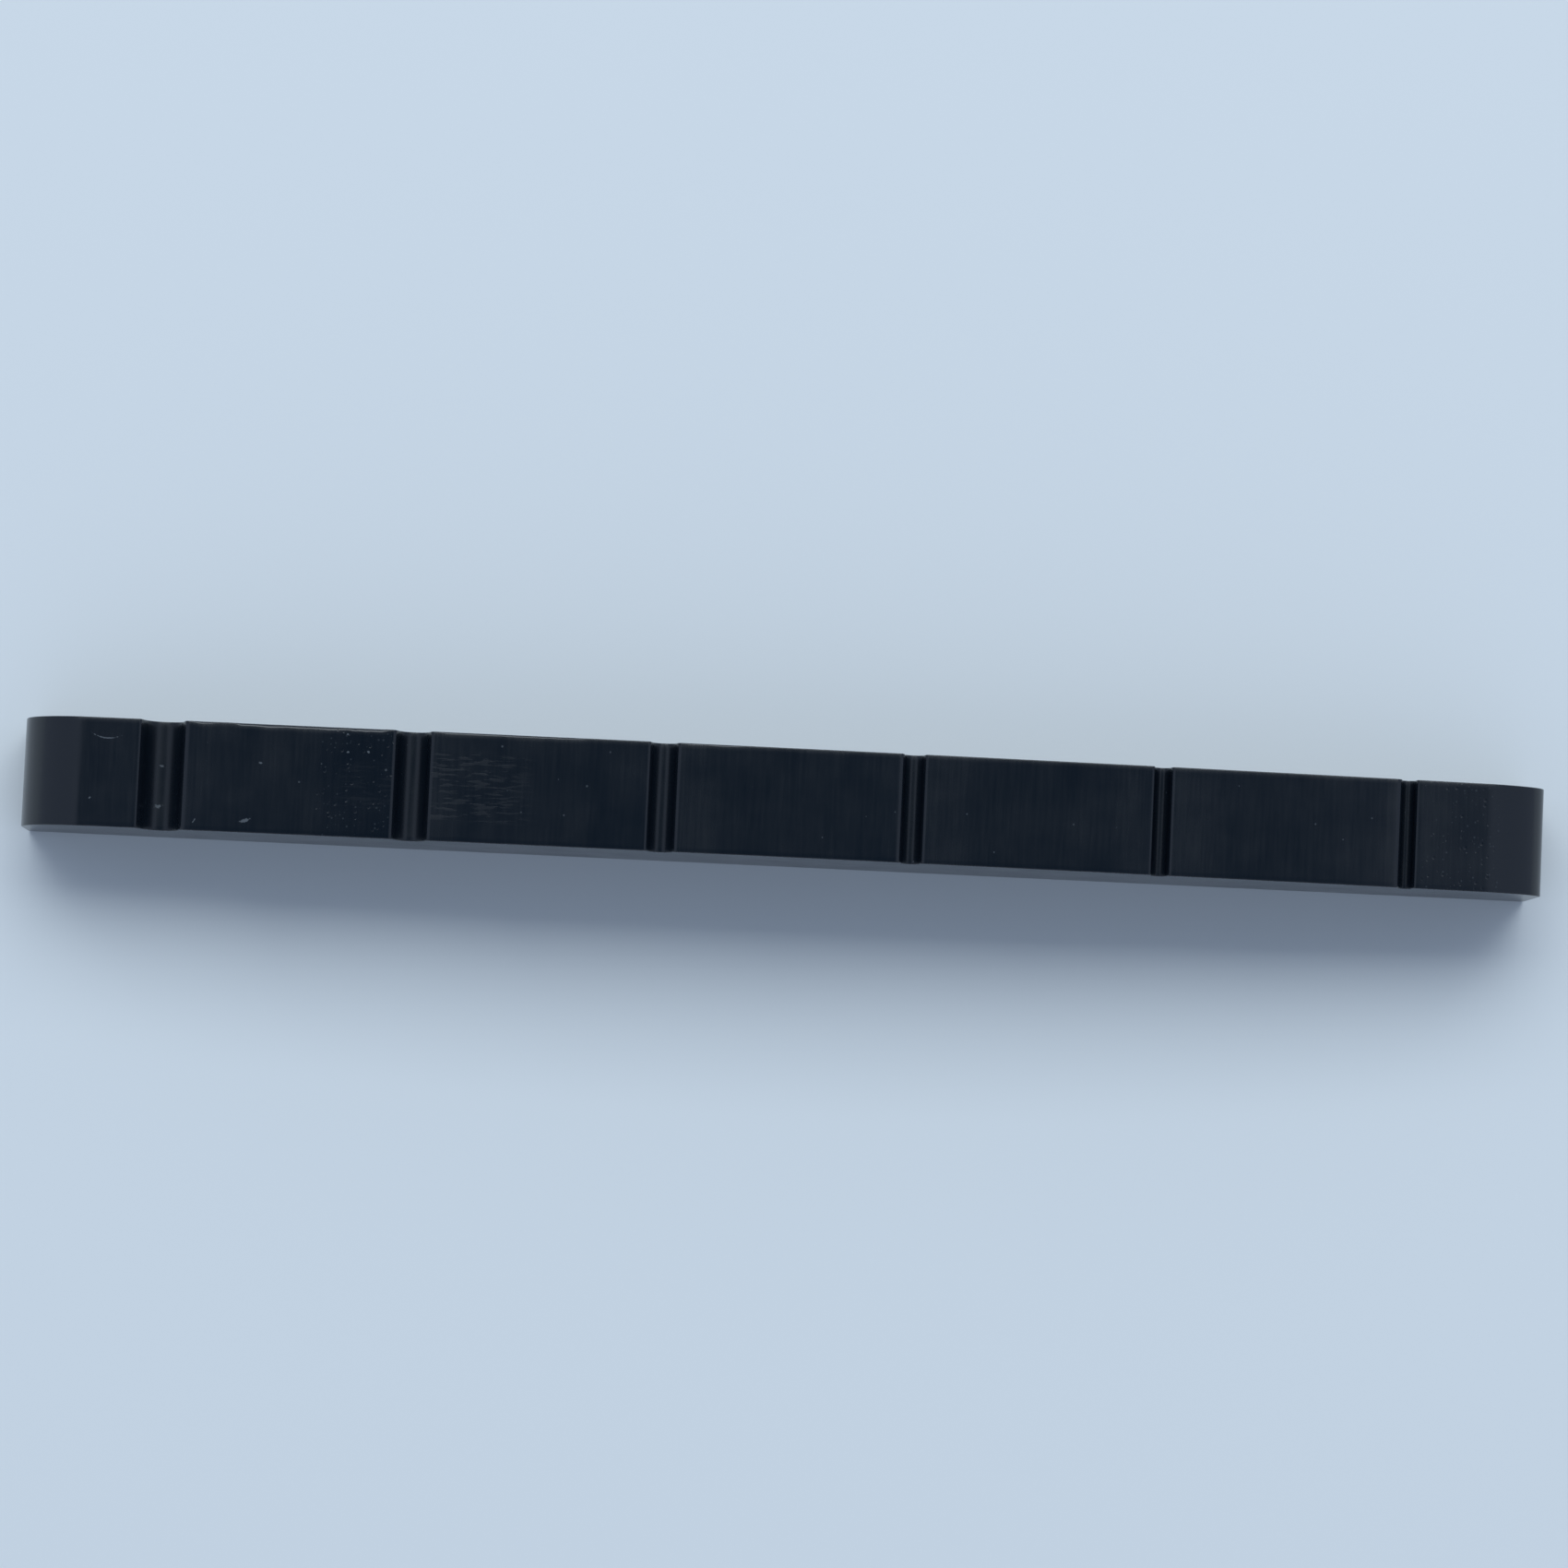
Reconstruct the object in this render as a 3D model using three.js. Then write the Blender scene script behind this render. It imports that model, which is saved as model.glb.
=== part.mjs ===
// A pre-slotted string nut for a six-string guitar neck: one moulded bar of black plastic.
// It stands on its flat seat in the slot at the top of the neck, and the strings run over it along Y.
//
// Millimetres, +Z up. X runs along the bar from the bass end to the treble end, the fingerboard is on
// the -Y side and the headstock on the +Y side. The origin is the middle of the flat seat.

import * as THREE from 'three';

// The bar
const LENGTH = 42.9; // width of the neck at the nut, 1 11/16 in
const THICKNESS = 3.05; // a sliding fit in a neck slot of 1/8 in
const CROWN_HEIGHT = 4.75; // seat to top, at the middle of the bar
const CROWN_RADIUS = 241; // the top follows the fingerboard's 9 1/2 in radius

// The rounded corner at each end of the top: how far it runs along the bar, and how far it falls
const BASS_CORNER = { run: 1.7, fall: 1.75 };
const TREBLE_CORNER = { run: 1.7, fall: 1.05 };
const CORNER_START = THREE.MathUtils.degToRad(8); // where the crown cuts off the corner's quarter ellipse

// The string slots: round, level floors between leaning walls, evenly spaced and centred on the bar
const STRING_SPREAD = 34.9; // first slot to last slot, centre to centre, 1 3/8 in
const SLOT_WIDTHS = [1.24, 0.98, 0.77, 0.6, 0.49, 0.42]; // at the top, from the bass to the treble string
const FLOOR_PER_WIDTH = 0.85; // diameter of the round floor
const DEPTH_PER_WIDTH = 0.64;
const LEAST_DEPTH = 0.5;

// How finely the curves are divided
const LAND_STEP = 1.2; // longest straight stretch between two slots
const SLOT_STEPS = 14; // around the floor of a slot
const CORNER_STEPS = 12; // around the rounded corner of an end

const BLACK_PLASTIC = { color: 0x12171d, roughness: 0.42, metalness: 0 };

// Height of the crowned top above the seat, before the ends are rounded.
function crownHeight(x) {
  return CROWN_HEIGHT - (CROWN_RADIUS - Math.sqrt(CROWN_RADIUS ** 2 - x ** 2));
}

// Centre, half width, floor radius and depth of each slot, from the bass side to the treble side.
function stringSlots() {
  const pitch = STRING_SPREAD / (SLOT_WIDTHS.length - 1);
  return SLOT_WIDTHS.map((width, index) => ({
    x: index * pitch - STRING_SPREAD / 2,
    halfWidth: width / 2,
    floorRadius: (FLOOR_PER_WIDTH * width) / 2,
    depth: Math.max(LEAST_DEPTH, width * DEPTH_PER_WIDTH),
  }));
}

// A stretch of the crowned top between two slots, or between a slot and an end.
function addLand(outline, fromX, toX) {
  const steps = Math.ceil((toX - fromX) / LAND_STEP);
  for (let step = 0; step <= steps; step += 1) {
    const x = fromX + ((toX - fromX) * step) / steps;
    outline.lineTo(x, crownHeight(x));
  }
}

// How far a slot's walls lean from upright, to run from its full width at the top into its round
// floor without a kink.
function wallLean(slot) {
  const rise = slot.depth - slot.floorRadius;
  const reach = Math.hypot(slot.halfWidth, rise);
  return Math.acos(slot.floorRadius / reach) - Math.atan2(rise, slot.halfWidth);
}

// A slot: down one wall, around the floor and up to the other wall.
function addSlot(outline, slot) {
  const lean = wallLean(slot);
  const floorCentre = crownHeight(slot.x) - slot.depth + slot.floorRadius;
  for (let step = 0; step <= SLOT_STEPS; step += 1) {
    const angle = Math.PI + lean + ((Math.PI - 2 * lean) * step) / SLOT_STEPS;
    const x = slot.x + slot.floorRadius * Math.cos(angle);
    outline.lineTo(x, floorCentre + slot.floorRadius * Math.sin(angle));
  }
}

// The rounded corner of an end, as points from the end face inwards. The side is -1 at the bass end
// and +1 at the treble end. The corner is a quarter ellipse that falls away from the crown, which cuts
// off the first few degrees of it and leaves a faint crease.
function cornerPoints(corner, side) {
  const along = corner.run / (1 - Math.sin(CORNER_START));
  const down = corner.fall / Math.cos(CORNER_START);
  const points = [];
  for (let step = 0; step < CORNER_STEPS; step += 1) {
    const angle = THREE.MathUtils.lerp(Math.PI / 2, CORNER_START, step / CORNER_STEPS);
    const fromCrease = along * (Math.sin(angle) - Math.sin(CORNER_START));
    const x = side * (LENGTH / 2 - corner.run + fromCrease);
    points.push(new THREE.Vector2(x, crownHeight(x) - down * (Math.cos(CORNER_START) - Math.cos(angle))));
  }
  return points;
}

// The bar seen from the fingerboard side: X to the right, height above the seat upwards.
function nutOutline() {
  const outline = new THREE.Shape();
  outline.moveTo(-LENGTH / 2, 0);
  cornerPoints(BASS_CORNER, -1).forEach((point) => outline.lineTo(point.x, point.y));

  let landStart = -LENGTH / 2 + BASS_CORNER.run;
  stringSlots().forEach((slot) => {
    addLand(outline, landStart, slot.x - slot.halfWidth);
    addSlot(outline, slot);
    landStart = slot.x + slot.halfWidth;
  });
  addLand(outline, landStart, LENGTH / 2 - TREBLE_CORNER.run);

  cornerPoints(TREBLE_CORNER, 1).reverse().forEach((point) => outline.lineTo(point.x, point.y));
  outline.lineTo(LENGTH / 2, 0);
  outline.closePath();
  return outline;
}

// The bar itself: the outline carried through the thickness, from the headstock face to the
// fingerboard face.
function stringNut() {
  const geometry = new THREE.ExtrudeGeometry(nutOutline(), { depth: THICKNESS, bevelEnabled: false });
  const nut = new THREE.Mesh(geometry, new THREE.MeshStandardMaterial(BLACK_PLASTIC));
  nut.name = 'string_nut';
  nut.rotation.x = Math.PI / 2;
  nut.position.y = THICKNESS / 2;
  return nut;
}

const guitarNut = new THREE.Group();
guitarNut.add(stringNut());

export default guitarNut;
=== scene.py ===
"""A pre-slotted string nut for a six-string guitar neck, in black plastic, standing on a pale floor.

Metres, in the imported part's own frame: +X runs from the bass end to the treble end, the fingerboard is
on the -Y side and the headstock on the +Y side, and the seat lies at Z = 0.
"""

import math

import bpy
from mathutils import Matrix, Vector, geometry, noise


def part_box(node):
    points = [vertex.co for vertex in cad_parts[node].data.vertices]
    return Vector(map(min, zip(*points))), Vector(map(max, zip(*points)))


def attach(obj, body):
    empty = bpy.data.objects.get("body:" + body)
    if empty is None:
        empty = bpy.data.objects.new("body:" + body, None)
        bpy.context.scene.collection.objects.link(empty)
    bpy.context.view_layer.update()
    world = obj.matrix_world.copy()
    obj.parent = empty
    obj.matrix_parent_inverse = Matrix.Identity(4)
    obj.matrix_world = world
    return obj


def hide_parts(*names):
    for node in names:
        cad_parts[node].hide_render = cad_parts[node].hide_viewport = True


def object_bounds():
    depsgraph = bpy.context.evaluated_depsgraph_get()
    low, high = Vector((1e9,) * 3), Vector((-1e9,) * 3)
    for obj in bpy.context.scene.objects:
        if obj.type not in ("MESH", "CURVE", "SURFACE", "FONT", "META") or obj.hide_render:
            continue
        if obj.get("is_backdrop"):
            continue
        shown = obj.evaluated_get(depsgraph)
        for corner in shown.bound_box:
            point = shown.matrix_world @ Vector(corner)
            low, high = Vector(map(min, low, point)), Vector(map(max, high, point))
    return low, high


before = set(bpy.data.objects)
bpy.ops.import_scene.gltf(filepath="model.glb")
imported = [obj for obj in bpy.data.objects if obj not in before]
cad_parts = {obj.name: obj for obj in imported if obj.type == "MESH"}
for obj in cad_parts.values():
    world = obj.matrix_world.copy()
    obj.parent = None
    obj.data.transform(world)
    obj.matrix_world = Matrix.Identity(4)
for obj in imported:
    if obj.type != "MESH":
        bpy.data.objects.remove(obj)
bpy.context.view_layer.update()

MM = 0.001
NODE = "string_nut"

# ---------------------------------------------------------------- the bar's driving dimensions

low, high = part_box(NODE)
HALF_LENGTH = (high.x - low.x) / 2
HALF_THICKNESS = (high.y - low.y) / 2
CROWN_HEIGHT = high.z - low.z
CROWN_RADIUS = 241 * MM

# How far the rounded corner of each end runs along the bar, and how far it falls
BASS_CORNER = (1.7 * MM, 1.75 * MM)
TREBLE_CORNER = (1.7 * MM, 1.05 * MM)
# The crown cuts each corner's quarter ellipse off at this angle from its top, which leaves a faint crease
CORNER_START = 8

STRING_SPREAD = 34.9 * MM  # first slot to last slot, centre to centre
DEPTH_PER_WIDTH = 0.64
LEAST_DEPTH = 0.5 * MM
FLOOR_PER_WIDTH = 0.85  # the diameter of a slot's round floor, as a share of its width at the top
# Each slot's width, and the radius of the lip on its bass side and on its treble side, in millimetres
SLOTS = [
    (1.24, 0.09, 0.16),
    (0.98, 0.13, 0.13),
    (0.77, 0.10, 0.13),
    (0.60, 0.14, 0.12),
    (0.49, 0.08, 0.12),
    (0.42, 0.18, 0.09),
]
SLOT_PITCH = STRING_SPREAD / (len(SLOTS) - 1)

# Radius of the broken edge where the long faces meet the top, the end faces and the seat
PLAIN_EDGE = 0.028 * MM
SEAT_EDGE = 0.05 * MM
END_FOOT_RADIUS = 0.09 * MM

# How finely the shape is divided
LAND_STEP = 0.08 * MM
SEAT_STEP = 0.5 * MM
SLOT_STEPS = 20
LIP_STEPS = 5
CORNER_STEPS = 26
RIM_STEPS = 4
ROWS_ACROSS = 24


def crown(x):
    """Height of the crowned top above the seat."""
    return CROWN_HEIGHT - (CROWN_RADIUS - math.sqrt(CROWN_RADIUS**2 - x * x))


def evenly(start, end, count):
    """Evenly spaced values from start to end, count steps apart."""
    return [start + (end - start) * i / count for i in range(count + 1)]


def spread(start, end, step):
    """Evenly spaced values from start to end, no further apart than step."""
    return evenly(start, end, max(1, math.ceil(abs(end - start) / step)))


def arc(centre_x, centre_z, radius, from_angle, to_angle, steps):
    """Points round a circle. Angles are in degrees, from +X towards +Z."""
    turns = [math.radians(angle) for angle in evenly(from_angle, to_angle, steps)]
    return [(centre_x + radius * math.cos(turn), centre_z + radius * math.sin(turn)) for turn in turns]


# ---------------------------------------------------------------- the outline, seen from the front


def corner_points(corner, side):
    """The rounded corner of an end, from the end face inwards: a quarter ellipse that falls away
    from the crown. The side is -1 at the bass end and +1 at the treble end."""
    run, fall = corner
    start = math.radians(CORNER_START)
    along = run / (1 - math.sin(start))
    down = fall / math.cos(start)
    points = []
    for angle in evenly(90, CORNER_START, CORNER_STEPS)[:-1]:
        turn = math.radians(angle)
        x = side * (HALF_LENGTH - run + along * (math.sin(turn) - math.sin(start)))
        points.append((x, crown(x) - down * (math.cos(start) - math.cos(turn))))
    return points


def end_points(corner, side):
    """An end of the bar, from the seat up to where the crown begins."""
    foot = HALF_LENGTH - END_FOOT_RADIUS
    first, last = (-90, -180) if side < 0 else (-90, 0)
    points = arc(side * foot, END_FOOT_RADIUS, END_FOOT_RADIUS, first, last, RIM_STEPS)
    rounded = corner_points(corner, side)
    face = spread(END_FOOT_RADIUS, rounded[0][1], SEAT_STEP)[1:-1]
    return points + [(side * HALF_LENGTH, z) for z in face] + rounded


def wall_lean(half_width, radius, depth):
    """How far a slot's walls lean from upright, in degrees, to run from the slot's full width at the
    top into its round floor without a kink."""
    rise_to_top = depth - radius
    reach = math.hypot(half_width, rise_to_top)
    return math.degrees(math.acos(radius / reach) - math.atan2(rise_to_top, half_width))


def slot_points(x, width, bass_lip, treble_lip):
    """A string slot from its bass side to its treble side: lip, leaning wall, round floor, wall, lip."""
    half_width = width / 2
    radius = FLOOR_PER_WIDTH * half_width
    depth = max(LEAST_DEPTH, width * DEPTH_PER_WIDTH)
    lean = wall_lean(half_width, radius, depth)
    set_back = 1 / math.tan(math.radians(45 + lean / 2))
    bass = x - half_width - set_back * bass_lip
    treble = x + half_width + set_back * treble_lip
    points = arc(bass, crown(bass) - bass_lip, bass_lip, 90, lean, LIP_STEPS)
    points += arc(x, crown(x) - depth + radius, radius, 180 + lean, 360 - lean, SLOT_STEPS)
    points += arc(treble, crown(treble) - treble_lip, treble_lip, 180 - lean, 90, LIP_STEPS)
    return points


def top_points():
    """The whole top from the seat's bass corner, over the crown and its slots, to the treble corner."""
    points = end_points(BASS_CORNER, -1)
    land_start = -HALF_LENGTH + BASS_CORNER[0]
    for index, (width, bass_lip, treble_lip) in enumerate(SLOTS):
        x = index * SLOT_PITCH - STRING_SPREAD / 2
        cut = slot_points(x, width * MM, bass_lip * MM, treble_lip * MM)
        points += [(land, crown(land)) for land in spread(land_start, cut[0][0], LAND_STEP)[:-1]]
        points += cut[:-1]
        land_start = cut[-1][0]
    land_end = HALF_LENGTH - TREBLE_CORNER[0]
    points += [(land, crown(land)) for land in spread(land_start, land_end, LAND_STEP)]
    return points + end_points(TREBLE_CORNER, 1)[::-1]


def outline():
    """The closed outline as (x, z) points, anticlockwise when seen from the fingerboard side."""
    top = top_points()
    seat = [(x, 0.0) for x in spread(top[0][0], top[-1][0], SEAT_STEP)[1:-1]]
    return seat + top[::-1]


def outward_normals(points):
    """The outward direction at each point of a closed anticlockwise outline."""
    normals = []
    for index, point in enumerate(points):
        before = Vector(points[index - 1])
        after = Vector(points[(index + 1) % len(points)])
        here = Vector(point)
        along = (here - before).normalized() + (after - here).normalized()
        normals.append(Vector((along.y, -along.x)).normalized())
    return normals


# ---------------------------------------------------------------- the broken edges

# Stretches of the headstock edge that were scraped wider by hand: from, to, radius, in millimetres
SCRAPED = [
    (-16.7, -15.9, 0.07),
    (-15.5, -11.1, 0.09),
    (-9.8, -5.6, 0.06),
    (-3.0, -1.2, 0.05),
]
SCRAPE_FADE = 0.3  # how far a scraped stretch takes to reach its radius, in millimetres
UNEVENNESS = 0.45  # how much the radius of a hand-worked edge comes and goes
WAVE_PER_MM = 1.9
FINE_WAVE_PER_MM = 3.1 * WAVE_PER_MM
LEAST_EDGE = 0.3 * PLAIN_EDGE

# The top counts as worked from this far below the crown upwards, with this wide a fade
WORKED_BELOW = 0.02 * MM
WORKED_FADE = 0.1 * MM


def rise(value, start, width):
    """0 before start and 1 after start + width, with a smooth step between."""
    t = min(1.0, max(0.0, (value - start) / width))
    return t * t * (3 - 2 * t)


def headstock_edge(x):
    """Radius of the broken edge between the top and the headstock face."""
    across = x / MM
    wave = noise.noise(Vector((across * WAVE_PER_MM, 3.0, 0.0)))
    wave += 0.5 * noise.noise(Vector((across * FINE_WAVE_PER_MM, 9.0, 0.0)))
    radius = PLAIN_EDGE
    for start, end, scraped in SCRAPED:
        share = rise(across, start, SCRAPE_FADE) * (1 - rise(across, end - SCRAPE_FADE, SCRAPE_FADE))
        radius += share * (scraped * MM - PLAIN_EDGE) * (1 + UNEVENNESS * wave)
    return max(LEAST_EDGE, radius)


def fingerboard_edge(x):
    """Radius of the broken edge between the top and the fingerboard face."""
    wave = noise.noise(Vector((x / MM * WAVE_PER_MM, 21.0, 0.0)))
    return PLAIN_EDGE * (1 + UNEVENNESS * wave)


def edge_radius(point, normal, worked_edge):
    """The edge's radius at a point of the outline: worked along the top, plain on the ends and seat."""
    x, z = point
    upward = normal.y
    plain = SEAT_EDGE + (PLAIN_EDGE - SEAT_EDGE) * rise(upward, -0.9, 0.8)
    on_top = rise(upward, 0.2, 0.5)
    below_crown = rise(crown(x) - z, WORKED_BELOW, WORKED_FADE)
    return plain + (worked_edge(x) - plain) * on_top * (1 - below_crown)


# ---------------------------------------------------------------- the mesh


def edge_point(point, normal, radius, side, degrees):
    """A point of a broken edge, this many degrees round from the outline to a long face. The side is
    -1 at the fingerboard face and +1 at the headstock face."""
    x, z = point
    turn = math.radians(degrees)
    inset = radius * (1 - math.cos(turn))
    y = side * (HALF_THICKNESS - radius * (1 - math.sin(turn)))
    return (x - normal.x * inset, y, z - normal.y * inset)


def rows_across(point, normal):
    """The points carried across the bar from one point of the outline: (x, y, z) from the
    fingerboard face to the headstock face, round both broken edges."""
    x, z = point
    near = edge_radius(point, normal, fingerboard_edge)
    far = edge_radius(point, normal, headstock_edge)
    rows = [edge_point(point, normal, near, -1, turn) for turn in evenly(90, 0, RIM_STEPS)[:-1]]
    rows += [(x, y, z) for y in evenly(-HALF_THICKNESS + near, HALF_THICKNESS - far, ROWS_ACROSS)]
    rows += [edge_point(point, normal, far, 1, turn) for turn in evenly(0, 90, RIM_STEPS)[1:]]
    return rows


def long_face(vertices, ring):
    """Triangles across one long face, from the ring of vertices around it. They face -Y."""
    corners = [Vector((vertices[index][0] / MM, vertices[index][2] / MM)) for index in ring]
    count = len(ring)
    sides = [(index, (index + 1) % count) for index in range(count)]
    inside_only, closest = 1, 1e-6
    filled = geometry.delaunay_2d_cdt(corners, sides, [list(range(count))], inside_only, closest)
    triangles, sources = filled[2], filled[3]
    return [[ring[sources[corner][0]] for corner in triangle] for triangle in triangles]


def bar_mesh():
    """The whole bar: the outline swept across the thickness, closed by the two long faces."""
    points = outline()
    normals = outward_normals(points)
    sweeps = [rows_across(point, normal) for point, normal in zip(points, normals)]
    vertices = [vertex for rows in sweeps for vertex in rows]
    width = len(sweeps[0])
    starts = range(0, len(vertices), width)
    faces = []
    for here in starts:
        there = (here + width) % len(vertices)
        for row in range(width - 1):
            faces.append((here + row, here + row + 1, there + row + 1, there + row))
    faces += long_face(vertices, list(starts))
    headstock_face = long_face(vertices, [start + width - 1 for start in starts])
    faces += [face[::-1] for face in headstock_face]
    mesh = bpy.data.meshes.new("nut_bar")
    mesh.from_pydata(vertices, [], faces)
    mesh.shade_smooth()
    for face in mesh.polygons:
        face.use_smooth = len(face.vertices) == 4  # the triangles of the long faces stay flat
    return mesh


def place_in_scene(name, data):
    """An object of the scene that holds the given mesh, light or camera."""
    made = bpy.data.objects.new(name, data)
    bpy.context.scene.collection.objects.link(made)
    return made


def nut_bar():
    """The bar as a piece, with the shading of its flat faces kept flat up to the broken edges."""
    bar = place_in_scene("nut_bar", bar_mesh())
    flat = bar.modifiers.new("flat_faces", "WEIGHTED_NORMAL")
    flat.mode = "FACE_AREA"
    flat.weight = 50
    flat.keep_sharp = True
    return bar


# ---------------------------------------------------------------- short ways to add nodes


def new_material(name):
    """A material's node tree and its Principled shader."""
    material = bpy.data.materials.new(name)
    material.use_nodes = True
    return material, material.node_tree, material.node_tree.nodes["Principled BSDF"]


def feed(tree, socket, value):
    """Link a socket to another socket, or set it to a plain value."""
    if isinstance(value, bpy.types.NodeSocket):
        tree.links.new(value, socket)
    else:
        socket.default_value = value


def maths(tree, operation, *values):
    """One Math node."""
    node = tree.nodes.new("ShaderNodeMath")
    node.operation = operation
    for socket, value in zip(node.inputs, values):
        feed(tree, socket, value)
    return node.outputs[0]


def product(tree, first, *others):
    """All the values multiplied together."""
    for other in others:
        first = maths(tree, "MULTIPLY", first, other)
    return first


def total(tree, first, *others):
    """All the values added up."""
    for other in others:
        first = maths(tree, "ADD", first, other)
    return first


def vector_maths(tree, operation, *values):
    """One Vector Math node."""
    node = tree.nodes.new("ShaderNodeVectorMath")
    node.operation = operation
    for socket, value in zip(node.inputs, values):
        feed(tree, socket, value)
    return node.outputs["Value" if operation == "LENGTH" else "Vector"]


def split(tree, vector):
    """The X, Y and Z parts of a vector."""
    node = tree.nodes.new("ShaderNodeSeparateXYZ")
    tree.links.new(vector, node.inputs[0])
    return node.outputs


def join(tree, x, y, z):
    """A vector from its X, Y and Z parts."""
    node = tree.nodes.new("ShaderNodeCombineXYZ")
    for socket, value in zip(node.inputs, (x, y, z)):
        feed(tree, socket, value)
    return node.outputs[0]


def ramp(tree, value, start, end, low=0.0, high=1.0):
    """Low up to start, high from end on, with a smooth step between."""
    node = tree.nodes.new("ShaderNodeMapRange")
    node.interpolation_type = "SMOOTHSTEP"
    for socket, item in zip(node.inputs[:5], (value, start, end, low, high)):
        feed(tree, socket, item)
    return node.outputs[0]


def window(tree, value, start, end, fade):
    """1 between start and end, fading to 0 outside them."""
    begun = ramp(tree, value, start - fade, start)
    not_over = ramp(tree, value, end, end + fade, 1.0, 0.0)
    return product(tree, begun, not_over)


def cloud(tree, place, per_mm, detail=2.0):
    """Noise from 0 to 1. The frequencies along X, Y and Z are per millimetre."""
    node = tree.nodes.new("ShaderNodeTexNoise")
    tree.links.new(vector_maths(tree, "MULTIPLY", place, per_mm), node.inputs["Vector"])
    node.inputs["Scale"].default_value = 1.0
    node.inputs["Detail"].default_value = detail
    return node.outputs[0]


def swing(tree, place, per_mm, detail=2.0):
    """Noise from -0.5 to 0.5, otherwise like cloud."""
    return maths(tree, "SUBTRACT", cloud(tree, place, per_mm, detail), 0.5)


def blend(tree, share, first, second):
    """A colour between two others."""
    node = tree.nodes.new("ShaderNodeMix")
    node.data_type = "RGBA"
    feed(tree, node.inputs[0], share)
    feed(tree, node.inputs[6], first)
    feed(tree, node.inputs[7], second)
    return node.outputs[2]


def millimetres(tree):
    """The place on the piece, in millimetres."""
    source = tree.nodes.new("ShaderNodeTexCoord").outputs["Object"]
    return vector_maths(tree, "MULTIPLY", source, (1 / MM, 1 / MM, 1 / MM))


# ---------------------------------------------------------------- the black plastic

PLASTIC = (0.0026, 0.0050, 0.0088, 1)
DUST = (0.055, 0.066, 0.078, 1)

# The crowned top, for the material: how far up its normal points, and how far beneath the crown it
# may lie, in millimetres. Between the two values of each pair it fades.
TOP_FACES_UP = (0.8, 0.97)
TOP_BENEATH = (0.02, 0.06)
# A string slot, in millimetres: how far beneath the crown it begins, and how far from its centre it
# ends. The long faces, whose normals point sideways, are no part of it.
SLOT_BENEATH = (0.03, 0.08)
SLOT_REACH = (0.64, 0.66)
OUTER_SLOT_REACH = 0.7
SLOT_FACES_SIDEWAYS = (0.3, 0.5)
# Dust and nicks show where the surface faces up this far
MARKS_FACE_UP = (0.5, 0.8)
COARSE_DUST_SHOWS = 0.55  # how far a coarse speck takes on the colour of dust
FINE_DUST_SHOWS = 0.25

MOULDED_ROUGHNESS = 0.21
TOP_ROUGHNESS = 0.24
SLOT_ROUGHNESS = 0.27
LEAST_ROUGHNESS = 0.1

# What each kind of wear adds to the roughness, where it is strongest
CROSSWISE_ROUGHNESS = 0.1
BANDS_ROUGHNESS = 0.07
MOTTLE_ROUGHNESS = 0.12
STREAK_ROUGHNESS = 0.08
WORN_ROUGHNESS = 0.035
POLISHED_ROUGHNESS = -0.045
MARK_ROUGHNESS = 0.25

# How high each kind of wear stands, in units of RELIEF
RELIEF = 0.0012 * MM
CROSSWISE_HEIGHT = 0.5
STREAK_HEIGHT = 0.9
GRAIN_HEIGHT = 0.35
PIT_HEIGHT = -2.5

# Stretches of the top, along X in millimetres, and how far each fades out
DUSTY = [(18.2, 20.4, 0.5), (-12.6, -11.0, 0.6)]
POLISHED = (-12.4, -11.0, 0.9)
WORN_BEFORE_LAST_SLOT = (16.85, 17.2, 0.08)
# The top is a little rougher just past each slot, up to this share of the way to the next
WORN_AFTER_SLOT = (0.06, 0.28)
# That wear is slight at the bass end, and full from the middle of the bar on
WEAR_GROWS = (-17.0, 0.0)
LEAST_WEAR = 0.2

# The sanded patches: from, to and fade along X, the same along Y, in millimetres, and their strength
SANDED = [
    ((-9.9, -8.0, 1.2), (-0.85, 0.85, 0.2), 1.0),
    ((-12.2, -11.1, 0.5), (-0.6, 0.4, 0.3), 0.5),
]
STREAK_WAVE = 0.08  # how far the dashes wander sideways, in millimetres

# Single marks: place along X and Y, length and width in millimetres, and turn in degrees. A long one
# bows this much: the height of its ends over its middle, per square millimetre of half its length.
BOW_PER_MM = 0.6
MARKS = [
    (-19.03, 0.95, 0.64, 0.036, -4),
    (-15.04, -1.19, 0.30, 0.10, 20),
    (-17.50, 0.28, 0.12, 0.07, 0),
    (-17.55, -0.85, 0.22, 0.10, 5),
    (-17.90, -0.76, 0.16, 0.05, 80),
    (-16.95, -0.50, 0.14, 0.05, 0),
    (-16.46, -1.24, 0.16, 0.035, 60),
    (-12.30, 1.34, 0.09, 0.07, 0),
    (-12.27, 0.85, 0.08, 0.06, 0),
    (-11.70, 0.87, 0.08, 0.06, 0),
    (-14.70, 0.43, 0.09, 0.06, 0),
    (-19.40, -0.73, 0.08, 0.04, 40),
]


def beneath_crown(tree, place):
    """How far a place lies beneath the bar's crown, in millimetres."""
    x, _, z = split(tree, place)
    radius = CROWN_RADIUS / MM
    above_axis = total(tree, z, radius - CROWN_HEIGHT / MM)
    from_axis = vector_maths(tree, "LENGTH", join(tree, x, 0.0, above_axis))
    return maths(tree, "SUBTRACT", radius, from_axis)


def pitches_along(tree, x):
    """The place along the bar, counted in slots from the bass slot."""
    return maths(tree, "DIVIDE", total(tree, x, STRING_SPREAD / MM / 2), SLOT_PITCH / MM)


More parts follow.
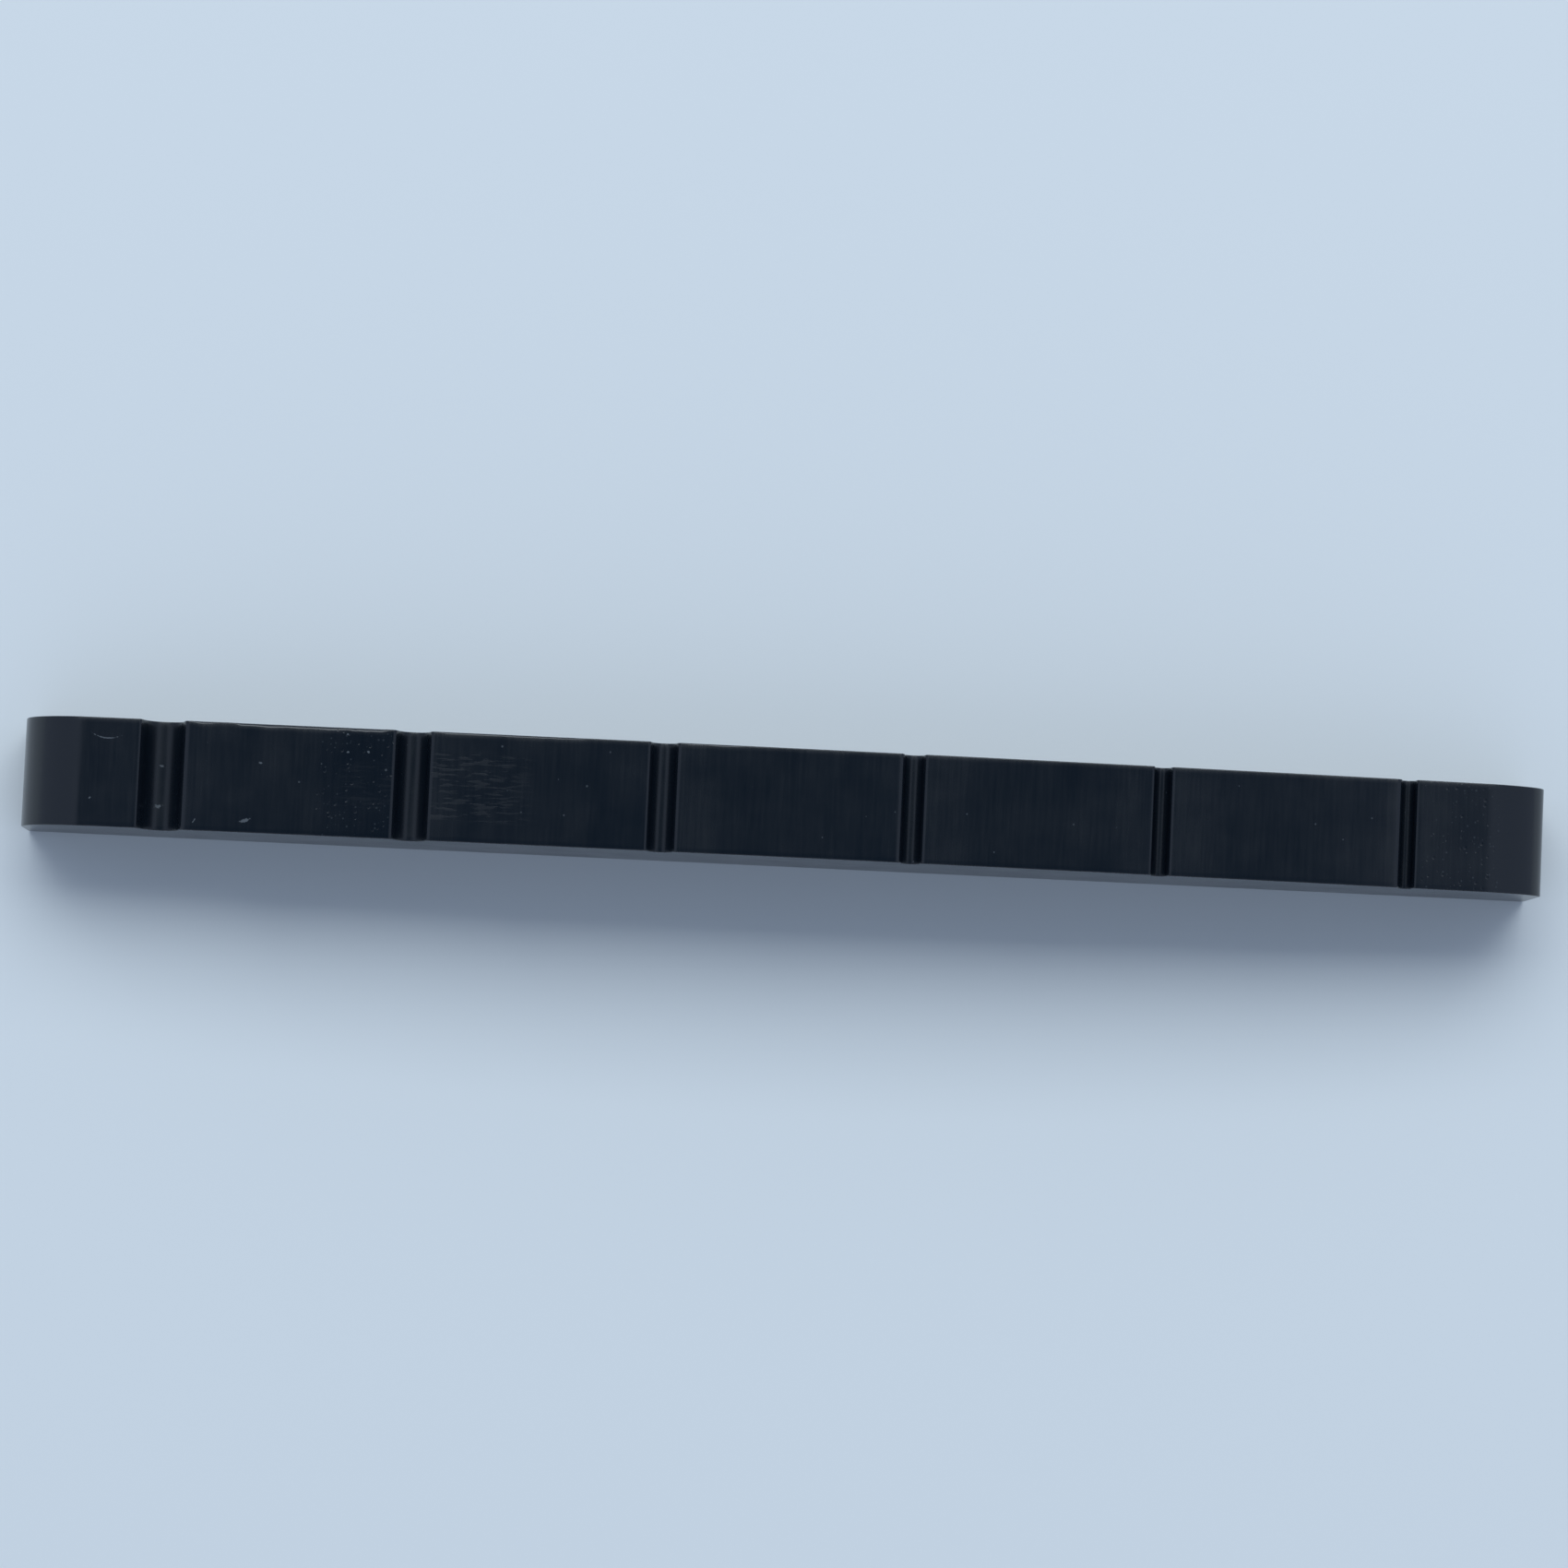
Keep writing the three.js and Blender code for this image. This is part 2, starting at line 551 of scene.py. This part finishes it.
def inside_slots(tree, x, beneath, normal_y):
    """1 inside the string slots, 0 elsewhere."""
    pitches = pitches_along(tree, x)
    nearest = maths(tree, "ROUND", pitches)
    from_centre = maths(tree, "ABSOLUTE", maths(tree, "SUBTRACT", pitches, nearest))
    near_end, far_end = [reach / (SLOT_PITCH / MM) for reach in SLOT_REACH]
    outermost = STRING_SPREAD / MM / 2 + OUTER_SLOT_REACH
    sideways = maths(tree, "ABSOLUTE", normal_y)
    return product(
        tree,
        ramp(tree, beneath, *SLOT_BENEATH),
        ramp(tree, from_centre, near_end, far_end, 1.0, 0.0),
        window(tree, x, -outermost, outermost, 0.02),
        ramp(tree, sideways, *SLOT_FACES_SIDEWAYS, 1.0, 0.0),
    )


def lengthwise_streaks(tree, place):
    """Short dashes left along the bar by a sanding block, beside the second slot."""
    x, y, _ = split(tree, place)
    patches = 0.0
    for along, across, strength in SANDED:
        patch = product(tree, window(tree, x, *along), window(tree, y, *across), strength)
        patches = maths(tree, "MAXIMUM", patches, patch)
    wave = product(tree, swing(tree, place, (1.6, 1.6, 1.0)), STREAK_WAVE)
    wavy = join(tree, x, total(tree, y, wave), 0.0)
    dashes = ramp(tree, cloud(tree, wavy, (1.7, 10.0, 1.0)), 0.49, 0.62)
    return product(tree, patches, dashes)


def specks(tree, place, per_mm, share, largest):
    """Dust and pits: how many cells there are per millimetre, the share of the cells that hold a
    speck, and the radius of the largest speck in millimetres."""
    node = tree.nodes.new("ShaderNodeTexVoronoi")
    tree.links.new(vector_maths(tree, "MULTIPLY", place, (per_mm, per_mm, per_mm)), node.inputs["Vector"])
    node.inputs["Scale"].default_value = 1.0
    chance, size, _ = split(tree, node.outputs["Color"])
    chosen = maths(tree, "LESS_THAN", chance, share)
    reach = ramp(tree, size, 0.0, 1.0, 0.4 * largest * per_mm, largest * per_mm)
    dot = ramp(tree, maths(tree, "DIVIDE", node.outputs["Distance"], reach), 0.4, 1.0, 1.0, 0.0)
    return product(tree, chosen, dot)


def single_marks(tree, place):
    """The nicks and scratches of MARKS, with broken outlines."""
    x, y, _ = split(tree, place)
    ragged = ramp(tree, cloud(tree, place, (16.0, 16.0, 4.0)), 0.35, 0.65, 0.7, 1.35)
    marks = 0.0
    for at_x, at_y, length, width, turn in MARKS:
        cosine, sine = math.cos(math.radians(turn)), math.sin(math.radians(turn))
        right = maths(tree, "SUBTRACT", x, at_x)
        up = maths(tree, "SUBTRACT", y, at_y)
        along = total(tree, product(tree, right, cosine), product(tree, up, sine))
        bow = product(tree, along, along, -BOW_PER_MM)
        across = total(tree, product(tree, up, cosine), product(tree, right, -sine), bow)
        stretched = join(tree, product(tree, along, 2 / length), product(tree, across, 2 / width), 0.0)
        reach = product(tree, vector_maths(tree, "LENGTH", stretched), ragged)
        marks = maths(tree, "MAXIMUM", marks, ramp(tree, reach, 0.6, 1.1, 1.0, 0.0))
    return marks


def black_plastic():
    """Black plastic: a satin top and slots worked by files and abrasive, and smoother moulded faces."""
    material, tree, shader = new_material("black_plastic")
    place = millimetres(tree)
    x = split(tree, place)[0]
    _, normal_y, normal_z = split(tree, tree.nodes.new("ShaderNodeNewGeometry").outputs["Normal"])
    beneath = beneath_crown(tree, place)

    # Where the surface was worked, 0 to 1
    facing_up = ramp(tree, normal_z, *MARKS_FACE_UP)
    top = product(tree, ramp(tree, normal_z, *TOP_FACES_UP), ramp(tree, beneath, *TOP_BENEATH, 1.0, 0.0))
    slot = inside_slots(tree, x, beneath, normal_y)
    worked = maths(tree, "MAXIMUM", top, slot)
    moulded = maths(tree, "SUBTRACT", 1.0, worked)

    # Fine lines across the bar, broader bands, a soft mottling and the moulded faces' grain
    crosswise = swing(tree, place, (13.0, 0.7, 2.0), 3.0)
    bands = swing(tree, place, (1.5, 0.25, 0.5))
    mottle = swing(tree, place, (0.7, 0.9, 0.8), 3.0)
    grain = swing(tree, place, (9.0, 9.0, 9.0))

    # Dust, nicks and pits
    dusty = maths(tree, "MAXIMUM", *[window(tree, x, *stretch) for stretch in DUSTY])
    coarse = specks(tree, place, per_mm=5.0, share=0.04, largest=0.045)
    fine = specks(tree, place, per_mm=9.0, share=product(tree, dusty, 0.35), largest=0.04)
    coarse_dust = product(tree, coarse, COARSE_DUST_SHOWS)
    fine_dust = product(tree, fine, FINE_DUST_SHOWS)
    loose = product(tree, maths(tree, "MAXIMUM", coarse_dust, fine_dust), worked)
    marks = product(tree, maths(tree, "MAXIMUM", single_marks(tree, place), loose), facing_up)
    pitted = specks(tree, place, per_mm=6.5, share=product(tree, dusty, 0.45), largest=0.06)
    pits = product(tree, pitted, top)

    # Wear beside the slots
    streaks = product(tree, lengthwise_streaks(tree, place), top)
    polished = product(tree, window(tree, x, *POLISHED), top)
    since_slot = maths(tree, "FRACT", pitches_along(tree, x))
    after_slot = ramp(tree, since_slot, *WORN_AFTER_SLOT, 1.0, 0.0)
    beside_slots = maths(tree, "MAXIMUM", after_slot, window(tree, x, *WORN_BEFORE_LAST_SLOT))
    worn = product(tree, beside_slots, top, ramp(tree, x, *WEAR_GROWS, LEAST_WEAR, 1.0))

    roughness = total(
        tree,
        MOULDED_ROUGHNESS,
        product(tree, top, TOP_ROUGHNESS - MOULDED_ROUGHNESS),
        product(tree, slot, SLOT_ROUGHNESS - MOULDED_ROUGHNESS),
        product(tree, worn, WORN_ROUGHNESS),
        product(tree, worked, crosswise, CROSSWISE_ROUGHNESS),
        product(tree, worked, bands, BANDS_ROUGHNESS),
        product(tree, mottle, MOTTLE_ROUGHNESS),
        product(tree, streaks, STREAK_ROUGHNESS),
        product(tree, polished, POLISHED_ROUGHNESS),
        product(tree, marks, MARK_ROUGHNESS),
    )
    feed(tree, shader.inputs["Roughness"], maths(tree, "MAXIMUM", roughness, LEAST_ROUGHNESS))
    feed(tree, shader.inputs["Base Color"], blend(tree, marks, PLASTIC, DUST))

    height = total(
        tree,
        product(tree, worked, crosswise, CROSSWISE_HEIGHT),
        product(tree, streaks, STREAK_HEIGHT),
        product(tree, moulded, grain, GRAIN_HEIGHT),
        product(tree, pits, PIT_HEIGHT),
    )
    bump = tree.nodes.new("ShaderNodeBump")
    bump.inputs["Strength"].default_value = 1.0
    bump.inputs["Distance"].default_value = RELIEF
    tree.links.new(height, bump.inputs["Height"])
    tree.links.new(bump.outputs[0], shader.inputs["Normal"])
    return material


# ---------------------------------------------------------------- the scene

FLOOR_COLOUR = (0.69, 0.72, 0.725, 1)
FLOOR_ROUGHNESS = 0.7
FLOOR_REACH = 1.5

# The soft box stands this far behind the bar, at this elevation in degrees, and faces it
KEY_ELEVATION = 51.5
KEY_DISTANCE = 0.6
KEY_WIDTH = 0.7
KEY_HEIGHT = 0.38
KEY_POWER = 2.95
KEY_COLOUR = (0.88, 0.96, 1.0)


def floor_paint():
    """A plain pale surface."""
    material, _, shader = new_material("floor_paint")
    shader.inputs["Base Color"].default_value = FLOOR_COLOUR
    shader.inputs["Roughness"].default_value = FLOOR_ROUGHNESS
    return material


def floor_plane():
    """The floor that the bar's seat lies on."""
    mesh = bpy.data.meshes.new("floor")
    corners = [(x * FLOOR_REACH, y * FLOOR_REACH, 0) for x, y in ((-1, -1), (1, -1), (1, 1), (-1, 1))]
    mesh.from_pydata(corners, [], [(0, 1, 2, 3)])
    floor = place_in_scene("floor", mesh)
    floor.data.materials.append(floor_paint())
    floor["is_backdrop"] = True


def key_light():
    """A soft box behind the bar, leaning over it."""
    light = bpy.data.lights.new("soft_box", "AREA")
    light.shape = "RECTANGLE"
    light.size = KEY_WIDTH
    light.size_y = KEY_HEIGHT
    light.energy = KEY_POWER
    light.color = KEY_COLOUR
    box = place_in_scene("soft_box", light)
    lift = math.radians(KEY_ELEVATION)
    towards = Vector((0, math.cos(lift), math.sin(lift)))
    box.location = towards * KEY_DISTANCE
    box.rotation_euler = towards.to_track_quat("Z", "Y").to_euler()


# The room's colour overhead and around. It is dark where the sine of the elevation is over
# DARK_ABOVE, light where it is under LIGHT_BELOW, and blends between.
ROOM_ABOVE = (0.035, 0.075, 0.13, 1)
ROOM_AROUND = (0.40, 0.48, 0.63, 1)
DARK_ABOVE = 0.972
LIGHT_BELOW = 0.885


def surroundings():
    """A room that is darker overhead than around, so that rounded ends and lips catch light."""
    world = bpy.data.worlds.new("studio")
    bpy.context.scene.world = world
    world.use_nodes = True
    tree = world.node_tree
    direction = split(tree, tree.nodes.new("ShaderNodeTexCoord").outputs["Generated"])
    overhead = ramp(tree, direction[2], LIGHT_BELOW, DARK_ABOVE)
    feed(tree, tree.nodes["Background"].inputs["Color"], blend(tree, overhead, ROOM_AROUND, ROOM_ABOVE))


# Where the camera stands, and how far it leans, in degrees, from looking straight down
CAMERA_PLACE = (-5.13 * MM, -10.44 * MM, 158.26 * MM)
CAMERA_LEAN = (3.99, -2.05, 2.6)
CAMERA_LENS = 127.06
SENSOR_WIDTH = 36


def camera():
    """The scene's camera, above the bar and a little in front of it."""
    data = bpy.data.cameras.new("camera")
    data.lens = CAMERA_LENS
    data.sensor_width = SENSOR_WIDTH
    data.clip_start, data.clip_end = 0.005, 10
    eye = place_in_scene("camera", data)
    eye.location = CAMERA_PLACE
    eye.rotation_euler = [math.radians(angle) for angle in CAMERA_LEAN]
    bpy.context.scene.camera = eye


camera()
floor_plane()
key_light()
surroundings()
bpy.context.scene.view_settings.view_transform = "Standard"

bar = nut_bar()
bar.data.materials.append(black_plastic())
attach(bar, "root")
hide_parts(NODE)

low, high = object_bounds()
